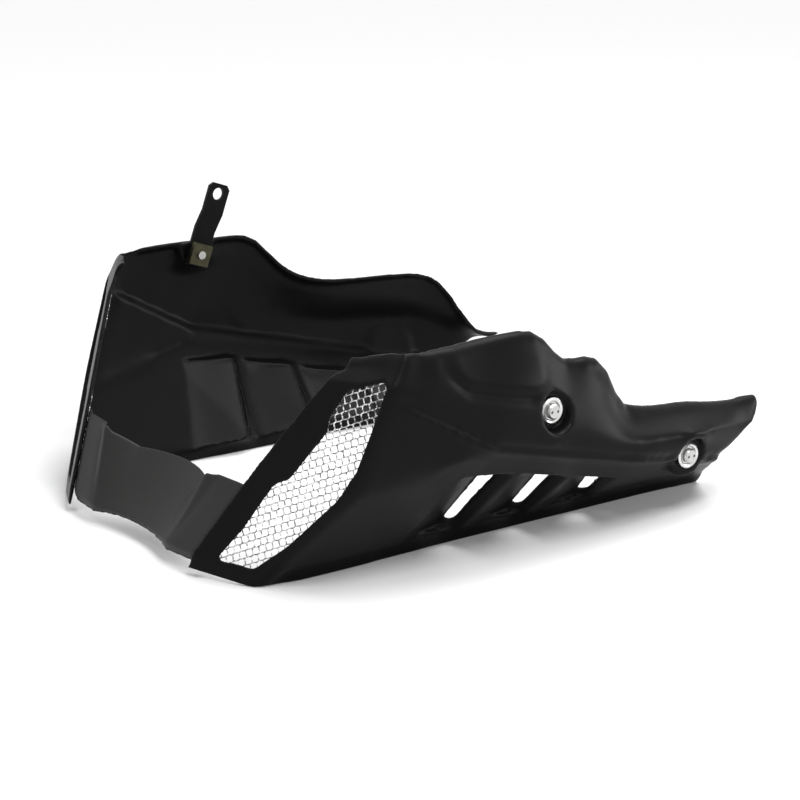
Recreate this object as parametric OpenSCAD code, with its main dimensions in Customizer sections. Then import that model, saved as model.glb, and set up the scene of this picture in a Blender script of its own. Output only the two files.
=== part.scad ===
// Belly pan for a motorcycle: two moulded side shells with raked, meshed air inlets and
// louvred flanks, joined at the front by a thin scooped bridge panel.
// X points to the left shell, Y to the rear, Z up. The feet of the shells stand on Z = 0.

/* [Shells] */
// Wall of the moulded shells
wall_t = 3; // [2:0.5:4]
// Half width over the crease behind the inlet
crease_half_w = 189; // [180:1:200]
// Half width at the foot of the shells
foot_half_w = 127; // [120:1:134]
// Half width at the top edge
top_half_w = 171; // [164:1:178]
// Height of the upright strip along the foot
foot_strip_h = 7; // [5:1:10]
// Height of the crease at its knee behind the inlet
knee_h = 82; // [76:1:88]
// Place of the knee along the pan
knee_y = -50; // [-56:1:-44]
// Height of the crease at the tail
tail_crease_h = 32; // [29:1:36]
// How far the upper wall stands proud of the crease
crease_step = 2.5; // [1:0.5:4]
// Height of the rolled top edge
roll_h = 8; // [6:1:10]
// Where the foot ends at the rear
tail_foot_y = 180; // [170:1:190]
// Where the tail ends at the rear
tail_y = 207; // [200:1:214]

/* [Inlets] */
// Turn of the inlet face outward
inlet_yaw = 28.5; // [26:0.5:31]
// Lean of the inlet face to the rear
inlet_rake = 15; // [12:0.5:18]
// Half gap between the two inlet faces at their lower inner corners
inlet_gap = 76; // [72:1:80]
// Place of those corners along the pan
nose_y = -217.5; // [-222:0.5:-212]
// Height of those corners
nose_h = 6; // [5:0.5:8]

/* [Louvres] */
// Number of louvres in each shell
louvre_n = 3; // [1:1:3]
// Spacing of the louvres
louvre_pitch = 58; // [56:1:60]
// Depth of a louvre at its deep edge
louvre_depth = 12; // [8:0.5:14]
// Length of a louvre along its lower edge
louvre_l = 41; // [36:1:43]
// Width of the slots in the louvres
slot_w = 8; // [5:0.5:9]

/* [Grilles] */
// Thickness of the grille sheet
grille_t = 1.2; // [0.8:0.2:2]
// Cell pitch of the grille mesh
mesh_pitch = 6.4; // [5:0.2:9]
// Width of the strands between the cells
mesh_strand = 1.5; // [1:0.1:2]

/* [Bridge] */
// Thickness of the bridge panel
bridge_t = 2.5; // [2:0.5:3.5]
// Height of the flanges at the ends of the bridge
bridge_h = 62; // [56:1:66]
// Height of the middle of the bridge
bridge_mid_h = 50; // [44:1:54]
// Depth of the scoop in the middle of the bridge, at its top
scoop_depth = 26; // [18:1:30]
// Width of the tabs glued behind the inlet faces
tab_w = 10; // [8:1:11]

/* [Fasteners] */
// Thread size of the screws
screw_d = 6; // [5:1:6]
// Diameter of the cup washers
washer_d = 18; // [16:1:20]
// Diameter of the round recesses for the washers
recess_d = 26; // [24:1:30]
// Length of the side screws under the head
screw_l = 22; // [18:1:30]

/* [Top strap] */
// Width of the steel strap
strap_w = 17.5; // [15:0.5:20]
// Thickness of the steel strap
strap_t = 2.5; // [2:0.5:3]
// Height of the strap's top end
strap_top_h = 198; // [190:1:202]
// Diameter of the mounting hole
strap_hole_d = 9; // [7:0.5:10]

/* [Hidden] */
$fn = 64;

// Small clearance between pieces that are glued or seated on each other
seat_gap = 0.3;
// Clearance round a screw's shank
shank_gap = 0.3;
// How far a cut runs past the surface that it cuts
past = 8;

// Top edge of the left shell, and of the right one, as places along the pan and heights
left_top = [[-122, 151], [-60, 152], [-12, 152], [2, 146], [20, 129], [43, 125],
            [56, 117], [72, 90], [86, 83], [140, 76], [tail_y, 67]];
right_top = [[-122, 151], [-70, 154], [-12, 152.5], [0, 143.5], [12, 131.5], [27, 120.5], [50, 111.5],
             [77, 107], [111, 105], [140, 102], [156, 96], [166, 86.5], [180, 69], [194, 57], [tail_y + 10.5, 49]];

// Outer edge of the inlet face, across and up in the face's own plane
inlet_outer = [[51.5, -6.2], [59.5, 1], [116.5, 60.5], [133.8, 124], [137.4, 141.8]];
// Opening in the inlet face
inlet_hole = [[24, 8], [51, 6], [72, 23], [88, 40], [103, 56], [114.5, 76], [121.5, 101], [129, 131], [125, 133],
              [102.5, 125], [92.5, 107], [92.5, 99], [69, 65], [58.5, 60], [40.5, 30]];

// Plain helpers
function mix(a, b, f) = a + (b - a) * f;
function unit(v) = v / norm(v);
function segment(keys, y, i = 0) = i >= len(keys) - 2 || y < keys[i + 1][0] ? i : segment(keys, y, i + 1);
function slope(keys, i) =
    i == 0 || i == len(keys) - 1 ? 0
    : (keys[i + 1][1] - keys[i - 1][1]) / (keys[i + 1][0] - keys[i - 1][0]);
// Smooth curve through the keys, with a rounded change of direction at each
function curve(keys, y) =
    let (i = segment(keys, y),
         h = keys[i + 1][0] - keys[i][0],
         f = min(1, max(0, (y - keys[i][0]) / h)))
    keys[i][1] * (1 + 2 * f) * (1 - f) ^ 2 + slope(keys, i) * h * f * (1 - f) ^ 2
    + keys[i + 1][1] * f ^ 2 * (3 - 2 * f) - slope(keys, i + 1) * h * f ^ 2 * (1 - f);

// The inlet face's plane
inlet_origin = [inlet_gap, nose_y, nose_h];
inlet_across = [cos(inlet_yaw), sin(inlet_yaw), 0];
inlet_normal = [cos(inlet_rake) * sin(inlet_yaw), -cos(inlet_rake) * cos(inlet_yaw), sin(inlet_rake)];
inlet_up = cross(inlet_normal, inlet_across);
function on_inlet(p) = inlet_origin + inlet_across * p[0] + inlet_up * p[1];
// Inner edge of the inlet face at a height up in its plane
function inlet_inner(up) = [0.6 * up + 0.0005 * up ^ 2, up];

// Stations along a side wall run from 0 at the inlet crease to 1 at the tail
knee_f = 0.3;
inlet_foot = on_inlet(inlet_outer[0]);
inlet_knee = on_inlet(inlet_outer[2]);
inlet_head = on_inlet(inlet_outer[3]);
inlet_top = on_inlet(inlet_outer[4]);
knee = [crease_half_w, knee_y, knee_h];
tail_crease = [crease_half_w - 17, tail_foot_y - 23, tail_crease_h];
tail_crease_mid = [crease_half_w - 2, mix(knee_y, tail_crease[1], 0.6), mix(knee_h, tail_crease_h, 0.63)];
// The shoulder parts from the crease behind the knee, and ends in the corner of the tail
tail_shoulder_y = tail_y - 9;
function station_y(f, front, rear) = lookup(f, [[0, front], [knee_f, knee_y], [1, rear]]);
function foot(f, h) =
    let (start = f == 0 && h == 0 ? inlet_foot : on_inlet(inlet_outer[1]))
    [lookup(f, [[0, start[0]], [0.12, foot_half_w + 3], [knee_f, foot_half_w], [0.85, foot_half_w - 1],
                [1, foot_half_w - 1 + h]]),
     station_y(f, start[1], tail_foot_y), h];
function crease(f) =
    [lookup(f, [[0, inlet_knee[0]], [knee_f, knee[0]], [0.72, tail_crease_mid[0]], [1, tail_crease[0]]]),
     station_y(f, inlet_knee[1], tail_crease[1]),
     lookup(f, [[0, inlet_knee[2]], [knee_f, knee[2]], [0.72, tail_crease_mid[2]], [1, tail_crease[2]]])];
function shoulder(f, step, keys) =
    let (rise = 4, mid = tail_crease_mid, y = station_y(f, 0, tail_shoulder_y))
    f < knee_f ? mix(inlet_head, [knee[0] + step, knee[1], knee[2] + rise], f / knee_f)
    : [lookup(f, [[knee_f, knee[0] + step], [0.64, mid[0] + step], [0.85, knee[0] - 8 + step], [1, knee[0] - 24]]),
       y, min(curve(keys, y) - 2 * roll_h,
              lookup(f, [[knee_f, knee[2] + rise], [0.64, mid[2] + 15], [0.85, tail_crease_h + 28], [1, tail_crease_h + 18]]))];
function edge_y(f, keys) =
    lookup(f, [[0, inlet_top[1]], [knee_f, knee_y + 16], [1, keys[len(keys) - 1][0]]]);
function edge(f, keys) =
    let (y = edge_y(f, keys), z = curve(keys, y) - roll_h)
    f == 0 ? inlet_top
    : [lookup(y, [[inlet_top[1], inlet_top[0]], [knee_y, top_half_w], [40, top_half_w - 1], [tail_y, top_half_w - 13]]), y, z];
// Outward swell of the upper wall in front, and the hollow behind
function swell(f) = lookup(f, [[0, 0], [0.1, 2], [0.35, 4], [0.5, 2], [0.62, -2], [0.8, -3], [1, 0]]);
function hump(v) = sin(180 * v);

// How far the crease of the right shell runs on past that of the left one
right_tail_reach = [0, 27, -8];
lower_rows = 3;
gusset_rows = 2;
upper_rows = 6;
// A column up the side wall; the inner face turns more gently past the crease than the outer one
function side_column(f, keys, inner) =
    let (a = foot(f, foot_strip_h), e = edge(f, keys), ease = inner ? 0.12 : 0,
         reach = keys == right_top ? right_tail_reach * max(0, f - 0.8) / 0.2 : [0, 0, 0],
         c = mix(crease(f) + reach, a, ease), s = mix(shoulder(f, inner ? 0 : crease_step, keys), e, ease))
    concat([foot(f, 0)],
           [for (i = [0 : lower_rows - 1]) mix(a, c, i / lower_rows)],
           [for (i = [0 : gusset_rows - 1]) mix(c, s, i / gusset_rows)],
           [for (i = [0 : upper_rows]) mix(s, e, i / upper_rows) + [swell(f) * hump(i / upper_rows), 0, 0]]);
// Length of the inlet face's inner edge, measured up in its plane
inlet_inner_l = 143;
// The column on the inlet face at a share of its width, 0 at the inner edge
function inlet_column(share, rim) =
    let (low = inlet_outer[0][1], high = inlet_outer[4][1])
    [for (i = [0 : len(rim) - 1])
        let (d = rim[i] - inlet_origin,
             out = [d * inlet_across, d * inlet_up],
             in = inlet_inner((out[1] - low) / (high - low) * inlet_inner_l))
        on_inlet(mix(in, out, share))];

// A wall from a grid of its outer points, given as columns that run from the foot upward
function clamp_i(i, n) = min(n - 1, max(0, i));
function at(g, j, k) = g[clamp_i(j, len(g))][clamp_i(k, len(g[0]))];
function facing(g, j, k, dj, dk) =
    let (a = at(g, j + dj, k) - at(g, j, k), b = at(g, j, k + dk) - at(g, j, k), c = cross(a, b) * dj * dk)
    norm(a) < 0.01 || norm(b) < 0.01 || norm(c) < 0.01 ? [0, 0, 0] : unit(c);
function normals(g, j, k) = [for (dj = [-1, 1], dk = [-1, 1]) facing(g, j, k, dj, dk)];
function total(v, i = 0) = i == len(v) ? [0, 0, 0] : v[i] + total(v, i + 1);
function inward(g, j, k, t) =
    let (ns = normals(g, j, k), n = unit(total(ns)),
         least = min([for (m = ns) norm(m) < 0.5 ? 1 : m * n]),
         flat = k == 0 ? unit([n[0], n[1], 0]) : n)
    -flat * t / max(0.6, least) / (k == 0 ? flat * n : 1);
function skin(g, t) =
    [for (j = [0 : len(g) - 1]) [for (k = [0 : len(g[0]) - 1]) g[j][k] + inward(g, j, k, t)]];
// Rows that turn inward along the top of a grid, in an arc
roll_steps = 3;
roll_turn = 62;
roll_r = roll_h / sin(roll_turn);
function rolled(g, r) =
    let (last = len(g[0]) - 1)
    [for (j = [0 : len(g) - 1])
        let (along = unit(at(g, j + 1, last) - at(g, j - 1, last)),
             rise = g[j][last] - g[j][last - 1],
             n = unit(cross(along, rise)),
             up = cross(n, along))
        concat(g[j], [for (q = [1 : roll_steps])
            let (a = roll_turn * q / roll_steps)
            g[j][last] + r * sin(a) * up - r * (1 - cos(a)) * n])];

module sheet(g, inner) {
    cols = len(g);
    rows = len(g[0]);
    half = cols * rows;
    function id(j, k, side) = side * half + j * rows + k;
    function quad(a, b, c, d) = [[a, b, c], [a, c, d]];
    faces = [
        for (j = [0 : cols - 2], k = [0 : rows - 2])
            each concat(quad(id(j, k, 0), id(j, k + 1, 0), id(j + 1, k + 1, 0), id(j + 1, k, 0)),
                        quad(id(j, k, 1), id(j + 1, k, 1), id(j + 1, k + 1, 1), id(j, k + 1, 1))),
        for (j = [0 : cols - 2])
            each concat(quad(id(j, 0, 0), id(j + 1, 0, 0), id(j + 1, 0, 1), id(j, 0, 1)),
                        quad(id(j, rows - 1, 0), id(j, rows - 1, 1), id(j + 1, rows - 1, 1), id(j + 1, rows - 1, 0))),
        for (k = [0 : rows - 2])
            each concat(quad(id(0, k, 0), id(0, k, 1), id(0, k + 1, 1), id(0, k + 1, 0)),
                        quad(id(cols - 1, k, 0), id(cols - 1, k + 1, 0), id(cols - 1, k + 1, 1), id(cols - 1, k, 1)))];
    polyhedron(points = concat([for (c = g) each c], [for (c = inner) each c]), faces = faces);
}

// A solid between two rings of as many points
module loft(a, b) {
    n = len(a);
    polyhedron(points = concat(a, b), faces = concat(
        [[for (i = [n - 1 : -1 : 0]) i]],
        [[for (i = [0 : n - 1]) n + i]],
        [for (i = [0 : n - 1], q = [0, 1])
            q == 0 ? [i, (i + 1) % n, n + i] : [(i + 1) % n, n + (i + 1) % n, n + i]]));
}

// Side wall: outer face of the flank below the crease
function crease_z(y) = lookup(y, [[inlet_knee[1], inlet_knee[2]], [knee_y, knee[2]],
                                  [tail_crease_mid[1], tail_crease_mid[2]], [tail_crease[1], tail_crease[2]]]);
// The station whose straight line up the flank passes through a place, found in a few steps
function flank_station(y, z, f = 0.3, tries = 6) =
    let (v = (z - foot_strip_h) / (crease(f)[2] - foot_strip_h),
         front = mix(foot(0, foot_strip_h)[1], crease(0)[1], v),
         rear = mix(tail_foot_y, tail_crease[1], v))
    tries == 0 ? f
    : flank_station(y, z, y < knee_y ? knee_f * (y - front) / (knee_y - front)
                                     : mix(knee_f, 1, (y - knee_y) / (rear - knee_y)), tries - 1);
function flank(y, z) =
    let (f = flank_station(y, z), a = foot(f, foot_strip_h), c = crease(f))
    mix(a, c, (z - foot_strip_h) / (c[2] - foot_strip_h));

// Louvres form a saw-tooth: each sinks to a deep edge and returns past its slot to the next one
louvre_y = -50;
louvre_top_y = -38;
louvre_top_pitch = 49;
louvre_foot_h = 9;
louvre_drop = 19;
step_l = 17;
head_depth = louvre_depth + 2;
foot_depth = louvre_depth - 3;
function louvre_top(y) = crease_z(y) - louvre_drop;
// Front, deep and rear corners of a louvre's foot or head, on the flank, sunk by a depth
function louvre_ring(i, head, depth, grow) =
    let (y = head ? louvre_top_y + i * louvre_top_pitch : louvre_y + i * louvre_pitch,
         front_y = y - louvre_l * (head ? 0.8 : 1) + 5,
         rear_y = y + step_l)
    head ? [flank(front_y, louvre_top(front_y) + grow), flank(y, louvre_top(y) + grow) - [depth, 0, 0],
            flank(rear_y, louvre_top(rear_y) + grow)]
    : [flank(front_y, louvre_foot_h - grow), flank(y, louvre_foot_h + 5 - grow) - [depth, 0, 0],
       flank(rear_y, louvre_foot_h - grow)];
module louvre_cut(i) {
    a = louvre_ring(i, false, foot_depth, 0);
    b = louvre_ring(i, true, head_depth, 0);
    out = [past, 0, 0];
    loft(concat(a, [a[2] + out, a[0] + out]), concat(b, [b[2] + out, b[0] + out]));
}
module louvre_boss(i) {
    a = louvre_ring(i, false, foot_depth + wall_t + 1, wall_t);
    b = louvre_ring(i, true, head_depth + wall_t + 1, wall_t);
    mid = [-wall_t / 2, 0, 0];
    deep = [-wall_t * 0.9, 0, 0];
    front = [0, -4, 0];
    rear = [0, 4, 0];
    loft([a[0] + deep + front, a[1] + rear / 2, a[2] + deep + rear, a[2] + mid + rear, a[0] + mid + front],
         [b[0] + deep + front, b[1] + rear / 2, b[2] + deep + rear, b[2] + mid + rear, b[0] + mid + front]);
}
// The slot runs along the step behind the deep edge
slot_share = 0.32;
module louvre_slot(i) {
    a = louvre_ring(i, false, foot_depth, 0);
    b = louvre_ring(i, true, head_depth, 0);
    low = mix(a[1], a[2], slot_share);
    high = mix(b[1], b[2], slot_share);
    axis = unit(high - low);
    wide = unit(mix(a[2], b[2], 0.5) - mix(a[1], b[1], 0.5));
    out = unit(cross(axis, wide));
    side = cross(out, axis);
    start = slot_w / 2 + 4;
    slot_l = norm(high - low) - start - 1;
    at_low = low + axis * start;
    multmatrix([[side[0], axis[0], out[0], at_low[0]],
                [side[1], axis[1], out[1], at_low[1]],
                [side[2], axis[2], out[2], at_low[2]]])
        translate([0, 0, -past]) linear_extrude(2 * past) {
            circle(d = slot_w);
            translate([-slot_w / 2, 0]) square([slot_w, slot_l]);
        }
}

// Places of the side screws: along, up, and the depth of the seat's outer face
front_screw_at = [mix(crease_half_w, top_half_w, 0.3) - 5.6, 2, 96.5];
rear_screw_at = [crease_half_w - 15, 126.5, 42];
// A recess is a round cup with a floor for the washer, on a hollow boss that reaches inward
boss_d = recess_d + 2 * wall_t;
boss_l = 14;
module on_screw(p) translate(p) rotate([0, 90, 0]) children();
module recess_boss(p) {
    on_screw(p) translate([0, 0, -boss_l]) difference() {
        cylinder(d = boss_d, h = boss_l);
        translate([0, 0, -1]) cylinder(d = recess_d, h = boss_l - wall_t + 1);
    }
    intersection() {
        on_screw(p) translate([0, 0, -wall_t]) cylinder(d = boss_d, h = boss_l + 2 * past);
        wall_room(left_top);
    }
}
module recess_cut(p) {
    on_screw(p) cylinder(d = recess_d, h = 3 * past);
    on_screw(p) translate([0, 0, -past]) cylinder(d = screw_d + 2 * shank_gap, h = 2 * past);
}

module inlet_place() translate(inlet_origin) rotate([90 - inlet_rake, 0, inlet_yaw]) children();
module inlet_opening(margin)
    if (margin == 0) polygon(inlet_hole);
    else offset(delta = margin) polygon(inlet_hole);

// What the grille reaches past the opening, and how far it stays inside the inlet's outer edge
grille_margin = 5;
grille_inset = 1.3 * wall_t;
module grille_outline(grow) offset(delta = grow) intersection() {
    inlet_opening(grille_margin);
    offset(delta = -grille_inset)
        polygon(concat([[-past, inlet_outer[0][1]]], inlet_outer, [[-past, inlet_outer[4][1]]]));
}
module grille_seat() inlet_place() translate([0, 0, -wall_t - grille_t - 2 * seat_gap])
    linear_extrude(grille_t + 2 * seat_gap + 0.01) grille_outline(seat_gap);

front_columns = 6;
rear_columns = 26;
function shell_grid(keys, inner) =
    let (fs = concat([for (i = [0 : front_columns - 1]) knee_f * i / front_columns],
                     [for (i = [0 : rear_columns]) mix(knee_f, 1, i / rear_columns)]),
         rim = side_column(0, keys, inner))
    concat([inlet_column(0, rim), inlet_column(0.5, rim), inlet_column(0.85, rim)],
           [for (f = fs) side_column(f, keys, inner)]);

// The room behind the middle of the wall, to trim what is added inside
room_depth = 30;
function shifted(g, x) = [for (c = g) [for (p = c) p + [x, 0, 0]]];
module wall_room(keys) {
    columns = [for (i = [1 : 12]) side_column(i / 12, keys, false)];
    sheet(shifted(columns, -wall_t / 2), shifted(columns, -room_depth));
}

module side_shell(keys) {
    difference() {
        union() {
            sheet(rolled(shell_grid(keys, false), roll_r), skin(rolled(shell_grid(keys, true), roll_r), wall_t));
            for (i = [0 : louvre_n - 1]) louvre_boss(i);
            children(0);
        }
        for (i = [0 : louvre_n - 1]) {
            louvre_cut(i);
            louvre_slot(i);
        }
        inlet_place() translate([0, 0, -past]) linear_extrude(2 * past) inlet_opening(0);
        grille_seat();
        children(1);
    }
}

module left_shell() {
    color([0.07, 0.07, 0.08]) side_shell(left_top) {
        union() {
            recess_boss(front_screw_at);
            recess_boss(rear_screw_at);
        }
        union() {
            recess_cut(front_screw_at);
            recess_cut(rear_screw_at);
        }
    }
}

// Right shell: a solid pad under the rolled edge, for the strap inside and its screw outside
strap_y = -56;
strap_screw_h = 144.5;
strap_pad_x = top_half_w - 9;
strap_seat_x = top_half_w - 2;
strap_pad_w = 28;
strap_seat_d = 16;
module strap_pad() {
    low = strap_screw_h - 12;
    top = strap_screw_h + 6;
    intersection() {
        translate([0, strap_y + strap_pad_w, 0]) rotate([90, 0, 0]) linear_extrude(2 * strap_pad_w)
            polygon([[strap_pad_x, low], [strap_pad_x + 13, low], [strap_pad_x + 7, low + 14], [strap_pad_x + 5, top],
                     [strap_pad_x, top]]);
        translate([strap_pad_x - 1, strap_y, strap_screw_h]) rotate([90, 0, 90]) linear_extrude(2 * past) {
            circle(d = strap_pad_w);
            translate([-strap_pad_w / 2, 0]) square([strap_pad_w, past]);
        }
    }
}
module right_shell() {
    color([0.07, 0.07, 0.08]) mirror([1, 0, 0]) side_shell(right_top) {
        strap_pad();
        union() {
            translate([strap_pad_x - past, strap_y, strap_screw_h]) rotate([0, 90, 0])
                cylinder(d = screw_d + 2 * shank_gap, h = 3 * past);
            translate([strap_seat_x, strap_y, strap_screw_h]) rotate([0, 90, 0]) cylinder(d = strap_seat_d, h = 2 * past);
        }
    }
}

// Grille: a flat sheet cut to the opening with a glued margin, pierced by staggered diamonds
module mesh_cells(w, h) {
    cell_w = mesh_pitch - mesh_strand;
    row_h = mesh_pitch * 0.5;
    for (r = [0 : floor(h / row_h)], c = [0 : floor(w / mesh_pitch)])
        translate([(c + 0.5 * (r % 2)) * mesh_pitch, r * row_h])
            rotate(45) square(cell_w * 0.66, center = true);
}
module grille() {
    inlet_place() translate([0, 0, -wall_t - seat_gap - grille_t]) linear_extrude(grille_t)
        difference() {
            grille_outline(0);
            intersection() {
                translate([mesh_pitch, 0]) mesh_cells(inlet_outer[4][0], inlet_outer[4][1]);
                inlet_opening(-0.5);
            }
        }
}
module left_grille() color([0.8, 0.8, 0.82]) grille();
module right_grille() color([0.8, 0.8, 0.82]) mirror([1, 0, 0]) grille();

// Bridge: one thin panel, as columns across the pan
function bridge_y(z) = nose_y + 0.536 * (z - nose_h);
function bridge_fold_x(z) = 45 + 0.48 * (z - nose_h);
bridge_rows = 6;
bridge_cols = 12;
function bridge_point(x_share, v, top) =
    let (z = mix(nose_h + 2, top, v),
         x = bridge_fold_x(z) * x_share,
         depth = mix(8, scoop_depth, v) * (1 - x_share ^ 2))
    [x, bridge_y(z) + depth, z + (1 - v) * 3 * (1 - x_share ^ 2)];
function behind_inlet(p) = on_inlet(p) - inlet_normal * (wall_t + seat_gap);
function bridge_column(share) =
    [for (k = [0 : bridge_rows]) bridge_point(share, k / bridge_rows, bridge_mid_h)];
function flange_column(share) =
    [for (k = [0 : bridge_rows])
        let (v = k / bridge_rows,
             z = mix(nose_h + 2, bridge_h, v),
             up = (z - nose_h) / inlet_up[2],
             in = [bridge_fold_x(z), bridge_y(z), z],
             out = behind_inlet([inlet_inner(up)[0] - 1, up]))
        mix(in, out, share)];
function tab_column(out) =
    [for (k = [0 : bridge_rows])
        let (v = k / bridge_rows, up = (mix(nose_h + 2, bridge_h, v) - nose_h) / inlet_up[2])
        behind_inlet([inlet_inner(up)[0] + out, up])];
function mirrored(col) = [for (p = col) [-p[0], p[1], p[2]]];
module front_bridge() {
    half = [flange_column(0), flange_column(0.5), flange_column(1), tab_column(tab_w)];
    grid = concat(
        [for (i = [len(half) - 1 : -1 : 0]) mirrored(half[i])],
        [for (i = [-bridge_cols + 1 : bridge_cols - 1]) bridge_column(i / bridge_cols)],
        half);
    color([0.16, 0.16, 0.16]) sheet(grid, skin(grid, bridge_t));
}

// Cup washer and socket screw of one side fixing, seated on the recess
washer_t = 3;
washer_bore = screw_d + 2 * shank_gap;
head_d = screw_d * 1.75;
head_h = 4;
module cup_washer() {
    rotate_extrude() polygon([[washer_bore / 2, 0], [washer_d / 2 - 1, 0], [washer_d / 2, 1], [washer_d / 2, washer_t - 1],
                              [washer_d / 2 - 1.2, washer_t], [washer_d / 2 - 2.4, washer_t - 0.6],
                              [head_d / 2 + 0.6, 1.2], [washer_bore / 2, 1.2]]);
}
// Round-headed screw with two blind pin holes
pin_hole_d = 2;
pin_hole_at = 2.4;
module pin_screw(length) {
    difference() {
        union() {
            translate([0, 0, -length]) cylinder(d = screw_d, h = length);
            rotate_extrude() polygon([[0, 0], [head_d / 2, 0], [head_d / 2, head_h - 1.2], [head_d / 2 - 1, head_h], [0, head_h]]);
        }
        for (side = [-1, 1]) translate([0, side * pin_hole_at, head_h - 1.6]) cylinder(d = pin_hole_d, h = 2, $fn = 24);
    }
}
module front_washer() color([0.75, 0.75, 0.76]) on_screw(front_screw_at) cup_washer();
module rear_washer() color([0.75, 0.75, 0.76]) on_screw(rear_screw_at) cup_washer();
module front_screw() color([0.7, 0.7, 0.72]) on_screw(front_screw_at) translate([0, 0, 1.2]) pin_screw(screw_l);
module rear_screw() color([0.7, 0.7, 0.72]) on_screw(rear_screw_at) translate([0, 0, 1.2]) pin_screw(screw_l);

// Steel strap, leaning to the rear from its screw: a profile bent inward, trimmed to its outline
strap_lean = 20;
strap_jog = 3.5;
strap_foot_drop = 9;
strap_chamfer = 3;
strap_l = (strap_top_h - strap_screw_h) / cos(strap_lean) - strap_w / 2 * tan(strap_lean);
strap_jog_low = 0.34 * strap_l;
strap_jog_high = 0.59 * strap_l;
strap_hole_at = strap_l - 7.5;
module on_strap() translate([-strap_pad_x, strap_y, strap_screw_h]) rotate([-strap_lean, 0, 0]) children();
module strap_outline() polygon([[-strap_w / 2, -strap_foot_drop], [strap_w / 2, -strap_foot_drop],
    [strap_w / 2, strap_l - strap_chamfer], [strap_w / 2 - strap_chamfer, strap_l],
    [-strap_w / 2 + strap_chamfer, strap_l], [-strap_w / 2, strap_l - strap_chamfer]]);
module strap_profile() polygon([[0, -2 * strap_foot_drop], [0, strap_jog_low + 1], [strap_jog, strap_jog_high + 1],
    [strap_jog, strap_l + past], [strap_jog + strap_t, strap_l + past], [strap_jog + strap_t, strap_jog_high],
    [strap_t, strap_jog_low], [strap_t, -2 * strap_foot_drop]]);
module strap_hole(up, d) translate([-past, 0, up]) rotate([0, 90, 0]) cylinder(d = d, h = 3 * past);
module top_strap() {
    color([0.06, 0.06, 0.06]) on_strap() difference() {
        intersection() {
            translate([0, strap_w, 0]) rotate([90, 0, 0]) linear_extrude(2 * strap_w) strap_profile();
            translate([-past, 0, 0]) rotate([90, 0, 90]) linear_extrude(3 * past) strap_outline();
        }
        strap_hole(strap_hole_at, strap_hole_d);
        strap_hole(0, screw_d + 2 * shank_gap);
    }
}
nut_w = 16;
nut_t = 4;
module clip_nut() {
    color([0.6, 0.55, 0.3]) on_strap() translate([strap_t, 0, 0]) difference() {
        translate([0, -nut_w / 2, -nut_w / 2]) cube([nut_t, nut_w, nut_w]);
        translate([-1, 0, 0]) rotate([0, 90, 0]) cylinder(d = screw_d + 2 * shank_gap, h = nut_t + 2);
    }
}
strap_washer_t = 1.6;
strap_washer_d = 14;
module strap_washer() {
    color([0.75, 0.75, 0.76]) translate([-strap_seat_x - strap_washer_t, strap_y, strap_screw_h]) rotate([0, 90, 0])
        difference() {
            cylinder(d = strap_washer_d, h = strap_washer_t);
            translate([0, 0, -1]) cylinder(d = washer_bore, h = strap_washer_t + 2);
        }
}
strap_screw_l = strap_washer_t + strap_seat_x - strap_pad_x + strap_t + nut_t + 1.5;
module strap_screw() {
    color([0.7, 0.7, 0.72]) translate([-strap_seat_x - strap_washer_t, strap_y, strap_screw_h]) rotate([0, -90, 0])
        pin_screw(strap_screw_l);
}

left_shell();
right_shell();
front_bridge();
left_grille();
right_grille();
front_washer();
front_screw();
rear_washer();
rear_screw();
top_strap();
clip_nut();
strap_screw();
strap_washer();
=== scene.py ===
import math

import bpy
import numpy as np
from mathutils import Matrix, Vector


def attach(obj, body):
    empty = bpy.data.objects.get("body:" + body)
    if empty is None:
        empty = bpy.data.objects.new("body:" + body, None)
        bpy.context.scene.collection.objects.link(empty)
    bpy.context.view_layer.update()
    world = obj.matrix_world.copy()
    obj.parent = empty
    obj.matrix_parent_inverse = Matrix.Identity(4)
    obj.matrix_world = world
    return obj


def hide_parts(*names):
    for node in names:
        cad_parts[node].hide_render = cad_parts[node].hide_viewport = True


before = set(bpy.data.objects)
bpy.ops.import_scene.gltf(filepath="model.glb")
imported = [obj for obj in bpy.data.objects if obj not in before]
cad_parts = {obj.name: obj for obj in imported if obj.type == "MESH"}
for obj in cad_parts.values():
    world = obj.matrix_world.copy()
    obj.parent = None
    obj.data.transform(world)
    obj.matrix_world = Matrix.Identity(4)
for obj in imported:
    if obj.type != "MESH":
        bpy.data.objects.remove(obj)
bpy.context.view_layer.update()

MM = 0.001


# ---------------------------------------------------------------- side shells
# Two mouldings in satin black plastic, about 3 mm thick. The visible side is smooth with a very
# fine mould texture, the edges are rolled inward, and the panes between the creases are soft.
class Value:
    """A number, colour or vector on its way through a material's nodes."""

    def __init__(self, finish, socket):
        self.finish, self.socket = finish, socket

    def __add__(self, other):
        return self.finish.maths("ADD", self, other)

    __radd__ = __add__

    def __mul__(self, other):
        return self.finish.maths("MULTIPLY", self, other)

    def __rsub__(self, other):
        return self.finish.maths("SUBTRACT", other, self)


# Sockets of a colour mix: its factor, its two colours and its result
MIX_FACTOR, MIX_FIRST, MIX_SECOND, MIX_RESULT = 0, 6, 7, 2


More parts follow.
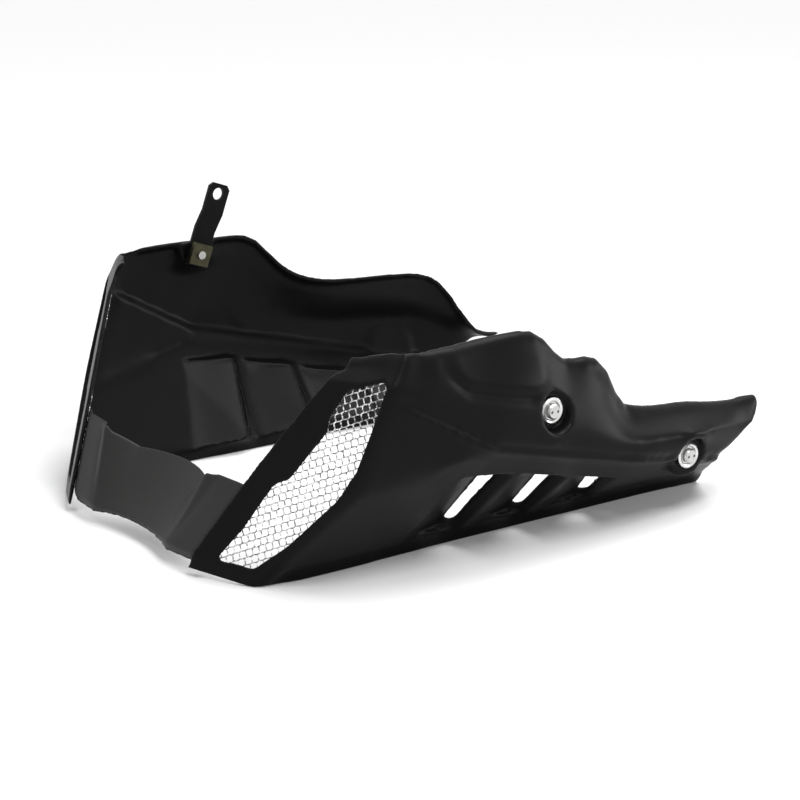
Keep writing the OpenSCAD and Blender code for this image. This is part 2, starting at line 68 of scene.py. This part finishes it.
class Finish:
    """A surface finish: one material with a Principled shader."""

    def __init__(self, name, slot, **settings):
        self.slot = slot
        self.material = bpy.data.materials.new(name)
        self.material.use_nodes = True
        self.tree = self.material.node_tree
        self.shader = self.tree.nodes["Principled BSDF"]
        for key, value in settings.items():
            self.set(key.replace("_", " "), value)

    def feed(self, socket, value):
        if isinstance(value, Value):
            self.tree.links.new(value.socket, socket)
        else:
            socket.default_value = value

    def node(self, kind, settings, *inputs, output=0, **named):
        made = self.tree.nodes.new(kind)
        for key, value in settings.items():
            setattr(made, key, value)
        for socket, value in zip(made.inputs, inputs):
            self.feed(socket, value)
        for key, value in named.items():
            self.feed(made.inputs[key], value)
        return Value(self, made.outputs[output])

    def maths(self, operation, first, second):
        return self.node("ShaderNodeMath", {"operation": operation}, first, second)

    def noise(self, scale, detail):
        place = self.node("ShaderNodeTexCoord", {}, output="Object")
        return self.node("ShaderNodeTexNoise", {}, Vector=place, Scale=scale, Detail=detail)

    def ramp(self, factor, low, high):
        return self.node("ShaderNodeMapRange", {}, factor, low, high, 0.0, 1.0)

    def blend(self, factor, first, second):
        made = self.tree.nodes.new("ShaderNodeMix")
        made.data_type = "RGBA"
        for socket, value in [(MIX_FACTOR, factor), (MIX_FIRST, first), (MIX_SECOND, second)]:
            self.feed(made.inputs[socket], value)
        return Value(self, made.outputs[MIX_RESULT])

    def relief(self, height, depth):
        bump = self.node("ShaderNodeBump", {}, Height=height, Strength=1.0, Distance=depth)
        self.set("Normal", bump)

    def set(self, key, value):
        self.feed(self.shader.inputs[key], value)

    def dress(self, piece, smooth_angle):
        """Puts the finish on a new piece, or on the node of that name, and smooths its shallow edges."""
        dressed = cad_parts[piece] if isinstance(piece, str) else piece
        dressed.data.materials.clear()
        dressed.data.materials.append(self.material)
        for face in dressed.data.polygons:
            face.use_smooth = True
        dressed.data.set_sharp_from_angle(angle=math.radians(smooth_angle))


satin = Finish("satin_black_plastic", "shell_plastic", IOR=1.46, Specular_IOR_Level=0.09)
patches = satin.noise(9.0, 3.0)
grain = satin.noise(2600.0, 2.0)
satin.set("Base Color", satin.blend(satin.ramp(patches, 0.35, 0.65),
                                    (0.0030, 0.0030, 0.0034, 1), (0.0045, 0.0045, 0.0049, 1)))
satin.set("Roughness", 0.29 + patches * 0.08 + grain * 0.03)
satin.relief(grain, 0.02 * MM)

VOXEL = 1.5
SOFT = 0.5
LEFT, RIGHT = 1, -1
ALL_SMOOTH = 180

# The inlet's face: its lower inner corner, and the directions across it, out of it and up it
INLET_YAW = math.radians(28.5)
INLET_RAKE = math.radians(15)
INLET_CORNER = Vector((76, -217.5, 6)) * MM
ACROSS = Vector((math.cos(INLET_YAW), math.sin(INLET_YAW), 0))
FACING = Vector((math.cos(INLET_RAKE) * math.sin(INLET_YAW), -math.cos(INLET_RAKE) * math.cos(INLET_YAW),
                 math.sin(INLET_RAKE)))
UPWARD = FACING.cross(ACROSS)
# Outline of its opening, as places across and up
OPENING = [(24, 8), (51, 6), (72, 23), (88, 40), (103, 56), (114.5, 76), (121.5, 101), (129, 131),
           (125, 133), (102.5, 125), (92.5, 107), (92.5, 99), (69, 65), (58.5, 60), (40.5, 30)]
# Its outer edge, as places up and across
INLET_OUTER = [(-6.2, 51.5), (1, 59.5), (60.5, 116.5), (124, 133.8), (141.8, 137.4)]

# The crease along the flank and the groove above it, as places along the pan and heights, and the
# share of a height above them that is square to them
CREASE = [(-126, 126), (-50, 83), (74, 51), (157, 32)]
GROOVE = [(-79, 131), (-66, 121), (-43, 115), (-11, 108), (4, 106)]
SQUARE = 0.95
# The side screws, as places along the pan and heights
SCREWS = [(2, 96.5), (126.5, 42)]
# Top edge of each shell as places and heights, and its tail as heights and places
LEFT_TOP = [(-122, 151), (-12, 152), (2, 146), (20, 129), (43, 125), (56, 117), (72, 90), (86, 83),
            (207, 67)]
RIGHT_TOP = [(-122, 151), (-70, 154), (-12, 152.5), (12, 131.5), (27, 120.5), (50, 111.5), (77, 107),
             (140, 102), (156, 96), (166, 86.5), (194, 57), (217, 49)]
LEFT_TAIL = [(7, 180), (32, 157), (50, 198), (67, 207)]
RIGHT_TAIL = [(7, 180), (24, 184), (41, 198), (49, 217)]


def ease(value, low, high):
    """Nothing up to the low value, one from the high value on, and a soft step between them."""
    share = np.clip((value - low) / (high - low), 0, 1)
    return share * share * (3 - 2 * share)


def fade(value, low, high):
    """One up to the low value, nothing from the high value on, and a soft step between them."""
    return ease(-value, -high, -low)


def bump(value, middle, width):
    return np.exp(-((value - middle) / width) ** 2)


def follow(line, at):
    """What a line of pairs comes to, at places along it."""
    return np.interp(at, *zip(*line))


def inlet_places(points):
    """Where points are on the inlet's face: across it and up it from its corner, and behind it."""
    from_corner = points - np.array(INLET_CORNER) / MM
    across, up, ahead = (from_corner @ np.array(way) for way in (ACROSS, UPWARD, FACING))
    return across, up, -ahead


def past_opening(across, up):
    """How far places on the inlet's face are outside its opening, negative inside it."""
    nearest = np.full(len(across), np.inf)
    inside = np.zeros(len(across), dtype=bool)
    for (ax, ay), (bx, by) in zip(OPENING, OPENING[1:] + OPENING[:1]):
        along = ((across - ax) * (bx - ax) + (up - ay) * (by - ay)) / ((bx - ax) ** 2 + (by - ay) ** 2)
        along = np.clip(along, 0, 1)
        off_side = np.hypot(across - ax - along * (bx - ax), up - ay - along * (by - ay))
        nearest = np.minimum(nearest, off_side)
        inside ^= ((ay > up) != (by > up)) & (across < (bx - ax) * (up - ay) / (by - ay) + ax)
    return np.where(inside, -nearest, nearest)


def relax(points, edges, weight, rounds):
    """Draws each point towards the middle of its neighbours, as far as its weight says."""
    first, second = edges[:, 0], edges[:, 1]
    count = len(points)
    near = np.bincount(first, minlength=count) + np.bincount(second, minlength=count)
    weight = np.reshape(weight, (-1, 1))
    for _ in range(rounds):
        sums = [np.bincount(first, points[second, axis], count)
                + np.bincount(second, points[first, axis], count) for axis in range(3)]
        middle = np.stack(sums, 1)
        points += weight * (middle / near[:, None] - points)


def own_copy(name, node):
    """A piece that starts from the mesh of a node."""
    piece = bpy.data.objects.new(name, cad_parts[node].data.copy())
    bpy.context.scene.collection.objects.link(piece)
    return piece


def even_points(piece, voxel):
    """Gives a piece a mesh of even small faces, and returns its points in millimetres and its edges."""
    even = piece.modifiers.new("even", "REMESH")
    even.mode = "VOXEL"
    even.voxel_size = voxel * MM
    seen = piece.evaluated_get(bpy.context.evaluated_depsgraph_get())
    piece.data = bpy.data.meshes.new_from_object(seen)
    piece.modifiers.clear()
    points = np.empty(len(piece.data.vertices) * 3)
    piece.data.vertices.foreach_get("co", points)
    edges = np.empty(len(piece.data.edges) * 2, dtype=np.int64)
    piece.data.edges.foreach_get("vertices", edges)
    return points.reshape(-1, 3) / MM, edges.reshape(-1, 2)


def write_points(piece, points):
    piece.data.vertices.foreach_set("co", (points * MM).ravel())
    piece.data.update()


# The panes are softened behind the inlet, off the screws, off the crease, off the floor, under the
# top edge and before the tail. The louvres are left out: from the front, to the rear, under the crease.
PAST_INLET, OFF_SCREWS, OFF_CREASE, OFF_FLOOR = (4, 14), (16, 24), (3, 8), (6, 12)
UNDER_TOP, BEFORE_TAIL = (9, 16), (3, 9)
LOUVRES_FRONT, LOUVRES_REAR, LOUVRES_TOP = (-100, -85), (95, 110), (-14, -9)
PANE_ROUNDS = 120


def soften_panes(points, edges, top, tail, behind, above, clear):
    x, y, z = points.T
    louvres = ease(y, *LOUVRES_FRONT) * fade(y, *LOUVRES_REAR) * fade(above, *LOUVRES_TOP)
    off_rim = ease(follow(top, y) - z, *UNDER_TOP) * ease(follow(tail, z) - y, *BEFORE_TAIL)
    plain = ease(behind, *PAST_INLET) * clear * (1 - louvres) * ease(np.abs(above), *OFF_CREASE)
    relax(points, edges, SOFT * (plain * ease(z, *OFF_FLOOR) * off_rim), PANE_ROUNDS)


# The inlet's outer edge is rounded near that edge, near the face, off the opening and off the nose
NEAR_OUTER, NEAR_FACE, OFF_OPENING, OFF_NOSE = (7, 13), (12, 20), (3, 6), (8, 12)
OUTER_ROUNDS = 40
# The top end of the face leans back: over which height and depth, and how far back. On the left it
# also sinks at the inner end and rises at the outer end, as the shell's corner does.
LEAN_UP, LEAN_DEPTH = (128, 146), (6, 30)
LEAN_BACK = {LEFT: 8, RIGHT: 3}
LEAN_SINK, LEAN_RISE, LEAN_ACROSS = 5, 9, (92, 137)


def shape_inlet(points, edges, side, across, up, behind):
    off_outer = np.abs(across - follow(INLET_OUTER, up))
    off_opening = np.abs(past_opening(across, up))
    outer = fade(off_outer, *NEAR_OUTER) * fade(behind, *NEAR_FACE) * ease(off_opening, *OFF_OPENING)
    relax(points, edges, SOFT * outer * ease(points[:, 2], *OFF_NOSE), OUTER_ROUNDS)
    lean = ease(up, *LEAN_UP) * fade(behind, *LEAN_DEPTH)
    points -= (LEAN_BACK[side] * lean)[:, None] * np.array(FACING)
    if side == LEFT:
        lift = LEAN_RISE * ease(across, *LEAN_ACROSS) - LEAN_SINK
        points += (lift * lean ** 2)[:, None] * np.array(UPWARD)


# The edges, which softening shrinks, are drawn out again. The foot with the inlet's nose goes down,
# the rim up and the tip of the tail back, each in a band along its edge.
NOSE_LOW, NOSE_FACE, NOSE_OPENING, FOOT_LOW = (9, 15), (6, 12), (2, 5), (3, 9)
TIP_BAND, RIM_BAND = (-9, -2), (-16, -4)
FOOT_DROP, EDGE_ROUNDS = 2.5, 25
# How far the left tip goes back, more at its top and a little at a height; how far its rim goes up,
# more towards the tail; and both on the right
TIP_BACK, TIP_TOP_BACK, TIP_TOP = 2, 3, (50, 64)
TIP_FILL, TIP_FILL_AT, TIP_FILL_WIDTH = 1.5, 24, 7
RIM_UP, RIM_REAR_UP, RIM_REAR = 1, 4.2, (30, 90)
RIGHT_RIM_UP = 3


def draw_out_edges(points, edges, side, top, tail, across, up, behind):
    x, y, z = points.T
    off_opening = np.abs(past_opening(across, up))
    nose = fade(z, *NOSE_LOW) * fade(behind, *NOSE_FACE) * ease(off_opening, *NOSE_OPENING)
    foot = np.maximum(fade(z, *FOOT_LOW), nose)
    tip = ease(y - follow(tail, z), *TIP_BAND)
    rim = ease(z - follow(top, y), *RIM_BAND)
    if side == LEFT:
        fill = TIP_FILL * bump(z, TIP_FILL_AT, TIP_FILL_WIDTH)
        points[:, 1] += (TIP_BACK + TIP_TOP_BACK * ease(z, *TIP_TOP) + fill) * tip
        points[:, 2] += (RIM_UP + RIM_REAR_UP * ease(y, *RIM_REAR)) * rim
    else:
        points[:, 1] += TIP_BACK * tip
        points[:, 2] += RIGHT_RIM_UP * rim
    points[:, 2] -= FOOT_DROP * foot
    relax(points, edges, SOFT * np.maximum(foot, tip), EDGE_ROUNDS)


# The nose of the inlet's face ends in a straight lower edge: its slope, and the reach of its points
# above that edge, across the face and behind it
NOSE_SLOPE = -0.12
NOSE_REACH_UP, NOSE_REACH_ACROSS, NOSE_REACH_BEHIND = 2.5, 53, 9


def straighten_nose(points, behind):
    across, up, _ = inlet_places(points)
    above_nose = up - NOSE_SLOPE * across
    at_nose = (above_nose < NOSE_REACH_UP) & (across < NOSE_REACH_ACROSS) & (behind < NOSE_REACH_BEHIND)
    points -= (above_nose * at_nose)[:, None] * np.array(UPWARD)


# The left crease is a low ridge under a groove: the height of both, and place and width of each. The
# right one is a step that dies away. Both begin where the flank is wide enough.
CREASE_FROM = (150, 165)
RIDGE, RIDGE_AT, RIDGE_WIDTH, DIP_AT, DIP_WIDTH = 1.6, -3, 2.5, 2, 2
STEP, STEP_WIDTH, STEP_REACH = 2.0, 1.4, 20


def press_crease(points, side, above, weight):
    weight = weight * ease(points[:, 0], *CREASE_FROM)
    if side == LEFT:
        ridge, dip = bump(above, RIDGE_AT, RIDGE_WIDTH), bump(above, DIP_AT, DIP_WIDTH)
        points[:, 0] += weight * (RIDGE * ridge - RIDGE * dip)
    else:
        step = STEP * np.tanh(above / STEP_WIDTH) * np.exp(-np.abs(above) / STEP_REACH)
        points[:, 0] += weight * step


# The left shell's groove above the crease, and the swell over it: where both begin and end along the
# pan, how the swell rises and fades over the groove, and the depth and width of the groove
GROOVE_FRONT, GROOVE_REAR = (-84, -70), (-8, 6)
SWELL, SWELL_RISE, SWELL_FADE = 1.8, (0, 8), (10, 34)
GROOVE_DEPTH, GROOVE_WIDTH = 1.6, 3.2


def press_groove(points, clear):
    x, y, z = points.T
    over = (z - follow(GROOVE, y)) * SQUARE
    here = ease(y, *GROOVE_FRONT) * fade(y, *GROOVE_REAR) * clear
    swell = SWELL * ease(over, *SWELL_RISE) * fade(over, *SWELL_FADE)
    points[:, 0] += here * (swell - GROOVE_DEPTH * bump(over, 0, GROOVE_WIDTH))


# The deep edges of the right louvres at the foot and at the head, as places and heights. They are
# drawn back over the slots: how far, over which places off the edge, and the fades past its ends.
LOUVRE_FEET = [(-50, 14), (8, 14), (66, 14)]
LOUVRE_HEADS = [(-38, 60), (11, 48), (60, 36)]
OVERHANG, OVERHANG_FRONT, OVERHANG_REAR = 7, (-26, 0), (0, 17)
PAST_FOOT, PAST_HEAD = 6, 5


def overhang(points):
    x, y, z = points.T
    for (foot_y, foot_z), (head_y, head_z) in zip(LOUVRE_FEET, LOUVRE_HEADS):
        past_edge = y - (foot_y + (head_y - foot_y) * (z - foot_z) / (head_z - foot_z))
        pull = ease(past_edge, *OVERHANG_FRONT) * fade(past_edge, *OVERHANG_REAR)
        ends = ease(z, foot_z - PAST_FOOT, foot_z), fade(z, head_z, head_z + PAST_HEAD)
        points[:, 1] += OVERHANG * pull * ends[0] * ends[1]


# A last smoothing in rounds that draw in and push out again, so that nothing shrinks
PUSH_OUT, SMOOTH_ROUNDS, LAST_ROUNDS = -0.53, 15, 4


def moulding(name, node, side, top, tail):
    """A shell with the rounded edges of a moulding: its own mesh, made even and then worked."""
    shell = own_copy(name, node)
    points, edges = even_points(shell, VOXEL)
    points[:, 0] *= side
    across, up, behind = inlet_places(points)
    along, height = points[:, 1], points[:, 2]
    above = (height - follow(CREASE, along)) * SQUARE
    off_screws = [np.hypot(along - screw_y, height - screw_z) for screw_y, screw_z in SCREWS]
    clear = ease(np.min(off_screws, axis=0), *OFF_SCREWS)

    soften_panes(points, edges, top, tail, behind, above, clear)
    shape_inlet(points, edges, side, across, up, behind)
    draw_out_edges(points, edges, side, top, tail, across, up, behind)
    straighten_nose(points, behind)
    press_crease(points, side, above, ease(behind, *PAST_INLET) * clear)
    if side == LEFT:
        press_groove(points, clear)
    else:
        overhang(points)
    for _ in range(SMOOTH_ROUNDS):
        relax(points, edges, SOFT, 1)
        relax(points, edges, PUSH_OUT, 1)
    relax(points, edges, SOFT, LAST_ROUNDS)
    points[:, 2] = np.maximum(points[:, 2], 0)
    points[:, 0] *= side
    write_points(shell, points)
    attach(shell, "root")
    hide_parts(node)
    return shell


satin.dress(moulding("left_moulding", "left_shell", LEFT, LEFT_TOP, LEFT_TAIL), ALL_SMOOTH)
satin.dress(moulding("right_moulding", "right_shell", RIGHT, RIGHT_TOP, RIGHT_TAIL), ALL_SMOOTH)


# ---------------------------------------------------------------- front bridge
# One thin sheet of matt dark plastic, formed to a scoop and glued behind the two inlet faces.
sheet_finish = Finish("matt_grey_plastic", "bridge_plastic", IOR=1.45, Specular_IOR_Level=0.3)
sheet_patches = sheet_finish.noise(14.0, 3.0)
sheet_grain = sheet_finish.noise(3200.0, 2.0)
sheet_finish.set("Base Color", sheet_finish.blend(sheet_finish.ramp(sheet_patches, 0.3, 0.7),
                                                  (0.011, 0.011, 0.0105, 1), (0.016, 0.016, 0.0155, 1)))
sheet_finish.set("Roughness", 0.46 + sheet_patches * 0.08)
sheet_finish.relief(sheet_grain, 0.02 * MM)
BRIDGE_VOXEL = 1.0
# The folds between the scoop and its end flanges: place at the foot, lean, and height of the foot
FOLD_X, FOLD_LEAN, BRIDGE_FOOT = 45, 0.48, 6
SCOOP_TOP, FLANGE_TOP, SCOOP_SHARE = 50, 62, 0.93
# Where the folds are rounded: near them, over the foot and below the top edge
NEAR_FOLD, OVER_FOOT, BELOW_TOP = (8, 14), (9, 13), (3, 7)
FOLD_ROUNDS, BRIDGE_ROUNDS = 90, 4
# The scoop's ends rise towards the flanges: how high at the top edge, over which width, from which
# height on, up to which one, and where the rise stops past the fold
WING_RISE, WING_WIDTH, WING_FROM, WING_HEIGHT, WING_TOP = 11, 24, 8, 42, 60.5
PAST_FOLD = (0.97, 1.04)
# The lower edge is flat with a low arch, and turns under: its heights, the points it takes in, and
# how far and over which heights it turns
EDGE_Z, EDGE_ARCH, EDGE_TAKES = 8, 3, 1.8
TURN_UNDER, TURN_HEIGHTS = 3.5, (8, 16)


def fold_at(z):
    """How far from the middle the fold is at a height."""
    return FOLD_X + FOLD_LEAN * (z - BRIDGE_FOOT)


def bridge_panel():
    """The bridge with its folds rounded and its foot turned under."""
    panel = own_copy("bridge_panel", "front_bridge")
    points, edges = even_points(panel, BRIDGE_VOXEL)
    x, y, z = points.T
    off_fold = np.abs(np.abs(x) - fold_at(z))
    below_top = np.where(np.abs(x) < fold_at(z) * SCOOP_SHARE, SCOOP_TOP, FLANGE_TOP) - z
    rounded = fade(off_fold, *NEAR_FOLD) * ease(z, *OVER_FOOT) * ease(below_top, *BELOW_TOP)
    relax(points, edges, SOFT * rounded, FOLD_ROUNDS)
    fold = fold_at(z)
    wing = np.clip((np.abs(x) - fold + WING_WIDTH) / WING_WIDTH, 0, 1) * fade(np.abs(x) / fold, *PAST_FOLD)
    raised = z + WING_RISE * wing * np.clip((z - WING_FROM) / WING_HEIGHT, 0, 1) ** 2
    points[:, 2] = np.where(wing > 0, np.maximum(z, np.minimum(raised, WING_TOP)), z)
    foot_z = EDGE_Z + EDGE_ARCH * np.clip(1 - (x / fold) ** 2, 0, 1)
    points[:, 2] = np.where(z < foot_z + EDGE_TAKES, foot_z, z)
    points[:, 1] += TURN_UNDER * fade(z, *TURN_HEIGHTS) ** 2
    relax(points, edges, SOFT, BRIDGE_ROUNDS)
    write_points(panel, points)
    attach(panel, "root")
    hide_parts("front_bridge")
    return panel


sheet_finish.dress(bridge_panel(), ALL_SMOOTH)


# ---------------------------------------------------------------- grilles
# Bright expanded aluminium: flat staggered cells, about 5 mm apart, glued behind the opening in
# each inlet face. Their thin flat strands have slightly rounded edges.
mesh_metal = Finish("bright_aluminium_mesh", "mesh_metal", Metallic=1.0)
# Painted glints and painted shade: random specks along the strands are coloured near white or dark grey in
# place of the bright and shaded sides of the strands, and the light specks are also made smoother
painted_glint_specks = mesh_metal.ramp(mesh_metal.noise(650.0, 1.0), 0.38, 0.62)
mesh_metal.set("Base Color", mesh_metal.blend(painted_glint_specks, (0.13, 0.13, 0.135, 1), (0.95, 0.95, 0.96, 1)))
mesh_metal.set("Roughness", 0.34 - painted_glint_specks * 0.14)
# Steps from cell to cell, along a strand and up from strand to strand, and how far a strand bows
ALONG = Vector((4.53, 2.01))
UP_STEP = Vector((0.17, 5.09))
BOW = 0.06
COLUMNS, ROWS = range(32), range(-16, 30)
# How far cells reach past the opening, the strands' thickness and rounding, and the sheet's depth
CELL_REACH, STRAND, STRAND_ROUNDING, SHEET_DEPTH = 2, 1.1, 0.2, 3.9
SHARP_EDGE, SMOOTH_EDGE = 60, 40


def cell_corners(cell):
    """The six corners of a cell, in order: two on the strand above it and two on the strand below."""
    half = ALONG / 3 - UP_STEP * BOW
    right, left = cell + UP_STEP / 2 + half, cell + UP_STEP / 2 - half
    return [right, left, right - ALONG, left - UP_STEP, right - UP_STEP, left + ALONG - UP_STEP]


def grille_piece(name, node, side):
    corners, faces, known = [], [], {}
    cells = [column * ALONG + row * UP_STEP for column in COLUMNS for row in ROWS]
    for cell, outside in zip(cells, past_opening(*np.array(cells).T)):
        if outside > CELL_REACH:
            continue
        face = []
        for cx, cy in cell_corners(cell):
            key = (round(cx, 2), round(cy, 2))
            if key not in known:
                known[key] = len(corners)
                place = INLET_CORNER + (ACROSS * cx + UPWARD * cy - FACING * SHEET_DEPTH) * MM
                corners.append((place[0] * side, place[1], place[2]))
            face.append(known[key])
        faces.append(face[::side])
    mesh = bpy.data.meshes.new(name)
    mesh.from_pydata(corners, [], faces)
    sheet = bpy.data.objects.new(name, mesh)
    bpy.context.scene.collection.objects.link(sheet)
    strands = sheet.modifiers.new("strands", "WIREFRAME")
    strands.thickness = STRAND * MM
    strands.offset = 0
    strands.use_even_offset = True
    strands.use_boundary = True
    rounding = sheet.modifiers.new("rounding", "BEVEL")
    rounding.width = STRAND_ROUNDING * MM
    rounding.segments = 1
    rounding.limit_method = "ANGLE"
    rounding.angle_limit = math.radians(SHARP_EDGE)
    seen = sheet.evaluated_get(bpy.context.evaluated_depsgraph_get())
    sheet.data = bpy.data.meshes.new_from_object(seen)
    sheet.modifiers.clear()
    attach(sheet, "root")
    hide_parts(node)
    return sheet


for name, node, side in [("left_mesh", "left_grille", LEFT), ("right_mesh", "right_grille", RIGHT)]:
    mesh_metal.dress(grille_piece(name, node, side), SMOOTH_EDGE)


# ---------------------------------------------------------------- side screws and strap screw
# Zinc-plated cup washers, turned from bar, with round-headed steel screws in them.
TURNED_EDGE = 30
zinc = Finish("zinc_plate", "washer_steel", Metallic=1.0)
zinc_cloud = zinc.noise(300.0, 4.0)
zinc.set("Base Color", zinc.blend(zinc_cloud, (0.58, 0.58, 0.58, 1), (0.80, 0.80, 0.79, 1)))
zinc.set("Roughness", 0.24 + zinc_cloud * 0.16)
for name in ["front_washer", "rear_washer", "strap_washer"]:
    zinc.dress(name, TURNED_EDGE)

screw_zinc = Finish("zinc_screw", "screw_steel", Metallic=1.0)
screw_cloud = screw_zinc.noise(400.0, 4.0)
screw_zinc.set("Base Color", screw_zinc.blend(screw_cloud, (0.38, 0.38, 0.375, 1), (0.62, 0.62, 0.61, 1)))
screw_zinc.set("Roughness", 0.28 + screw_cloud * 0.18)
for name in ["front_screw", "rear_screw", "strap_screw"]:
    screw_zinc.dress(name, TURNED_EDGE)


# ---------------------------------------------------------------- top strap and clip nut
# A strip of flat steel, cut, drilled, joggled over the shell's edge and powder-coated black,
# with a yellow-passivated clip nut pushed over its foot.
BENT_EDGE = 20
coat = Finish("black_powder_coat", "strap_paint", IOR=1.5, Specular_IOR_Level=0.09)
orange_peel = coat.noise(900.0, 2.0)
coat.set("Base Color", coat.blend(orange_peel, (0.002, 0.002, 0.002, 1), (0.004, 0.004, 0.004, 1)))
coat.set("Roughness", 0.34 + orange_peel * 0.12)
coat.relief(orange_peel, 0.05 * MM)
coat.dress("top_strap", BENT_EDGE)

passivate = Finish("yellow_passivate", "clip_plating", Metallic=1.0)
iridescence = passivate.noise(220.0, 3.0)
passivate.set("Base Color", passivate.blend(iridescence, (0.045, 0.044, 0.028, 1), (0.09, 0.085, 0.05, 1)))
passivate.set("Roughness", 0.30 + iridescence * 0.2)
passivate.dress("clip_nut", TURNED_EDGE)


# ---------------------------------------------------------------- studio
# A pale floor under soft light from above, in front and behind, and the camera of the photograph.
# The surroundings are white where they are seen or mirrored, and dimmer where they light the pan.
FLOOR_HALF, FLOOR_DROP = 30, 0.0005
paper = Finish("white_paper", "shell_plastic", Roughness=0.9, Specular_IOR_Level=0.1)
paper.set("Base Color", (0.9, 0.9, 0.9, 1))
paper.set("Emission Color", (1.0, 1.0, 1.0, 1))
paper.set("Emission Strength", 0.1)
floor_mesh = bpy.data.meshes.new("floor")
floor_mesh.from_pydata([(-FLOOR_HALF, -FLOOR_HALF, 0), (FLOOR_HALF, -FLOOR_HALF, 0),
                        (FLOOR_HALF, FLOOR_HALF, 0), (-FLOOR_HALF, FLOOR_HALF, 0)], [], [(0, 1, 2, 3)])
floor = bpy.data.objects.new("floor", floor_mesh)
bpy.context.scene.collection.objects.link(floor)
floor.location.z = -FLOOR_DROP
floor.data.materials.append(paper.material)

SEEN_STRENGTH, LIGHTING_STRENGTH = 1.0, 0.28
world = bpy.data.worlds.new("studio")
world.use_nodes = True
bpy.context.scene.world = world
nodes, links = world.node_tree.nodes, world.node_tree.links
paths = nodes.new("ShaderNodeLightPath")
seen = None
for kind in ["Is Camera Ray", "Is Glossy Ray", "Is Transmission Ray"]:
    either = nodes.new("ShaderNodeMath")
    either.operation = "MAXIMUM"
    links.new(paths.outputs[kind], either.inputs[0])
    either.inputs[1].default_value = 0
    if seen:
        links.new(seen.outputs[0], either.inputs[1])
    seen = either
strength = nodes.new("ShaderNodeMapRange")
links.new(seen.outputs[0], strength.inputs[0])
strength.inputs["To Min"].default_value = LIGHTING_STRENGTH
strength.inputs["To Max"].default_value = SEEN_STRENGTH
links.new(strength.outputs[0], nodes["Background"].inputs["Strength"])
nodes["Background"].inputs["Color"].default_value = (1, 1, 1, 1)


def turned_towards(direction):
    return Vector(direction).to_track_quat("-Z", "Y").to_euler()


def soft_light(name, place, aim, size, power):
    data = bpy.data.lights.new(name, "AREA")
    data.shape = "RECTANGLE"
    data.size, data.size_y = size
    data.energy = power
    lamp = bpy.data.objects.new(name, data)
    lamp.location = place
    lamp.rotation_euler = turned_towards(Vector(aim) - Vector(place))
    bpy.context.scene.collection.objects.link(lamp)


soft_light("overhead", place=(0.85, -0.05, 1.5), aim=(-0.1, 0, 0.05), size=(0.6, 0.6), power=12)
soft_light("front", place=(-0.3, -0.95, 1.75), aim=(0.1, -0.1, 0.1), size=(1.2, 0.5), power=3)
soft_light("rear", place=(0.85, 1.6, 0.45), aim=(0, 0, 0.08), size=(1.0, 0.35), power=7)

ceiling_data = bpy.data.lights.new("ceiling", "SUN")
ceiling_data.energy = 2.15
ceiling_data.angle = math.radians(40)
ceiling = bpy.data.objects.new("ceiling", ceiling_data)
ceiling.rotation_euler = turned_towards((0.05, -0.42, -0.91))
bpy.context.scene.collection.objects.link(ceiling)

CAMERA_PLACE = Vector((1430.6, -1028.7, 581.4)) * MM
CAMERA_TARGET = Vector((-19.1, 24.5, 52.5)) * MM
camera_data = bpy.data.cameras.new("camera")
camera_data.lens = 117.0
camera_data.sensor_width = 36.0
camera = bpy.data.objects.new("camera", camera_data)
bpy.context.scene.collection.objects.link(camera)
camera.location = CAMERA_PLACE
camera.rotation_euler = turned_towards(CAMERA_TARGET - camera.location)
bpy.context.scene.camera = camera
bpy.context.scene.view_settings.view_transform = "Standard"
